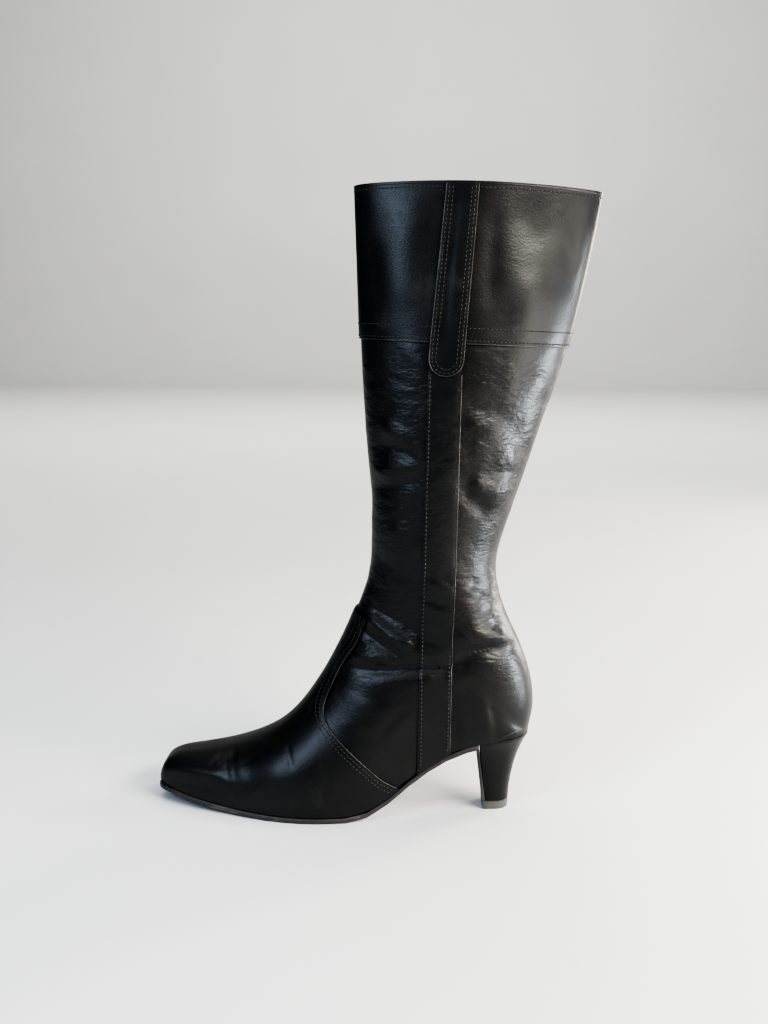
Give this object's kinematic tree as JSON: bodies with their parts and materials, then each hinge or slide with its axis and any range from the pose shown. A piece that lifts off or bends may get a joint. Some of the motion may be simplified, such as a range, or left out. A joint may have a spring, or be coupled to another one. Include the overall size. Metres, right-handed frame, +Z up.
{
  "type": "knee-high boot",
  "caption": "Left knee-high leather boot with a square toe, a slim covered heel, a cuff under the collar, side strips and pull tabs.",
  "frame": {"origin": "centre of the heel's top piece, on the floor", "axes": "+Z up, -X from heel to toe, -Y to the outer side of the leg, which the picture shows"},
  "size_m": [0.2995, 0.0845, 0.4204],
  "materials": {
    "black_leather": "semi-gloss black calf leather, creased with wear",
    "lining_leather": "matt dark lining leather",
    "sole_leather": "dark stained sole leather, paler along its worn edge",
    "top_piece_rubber": "matt dark grey, worn and chipped"
  },
  "bodies": {
    "root": {"upper": "black_leather", "vamp": "black_leather", "cuff": "black_leather", "side_strip_lateral": "black_leather", "side_strip_medial": "black_leather", "pull_tab_lateral": "black_leather", "pull_tab_medial": "black_leather", "heel": "black_leather", "insole": "lining_leather", "outsole": "sole_leather", "heel_top_piece": "top_piece_rubber"}
  },
  "joints": []
}
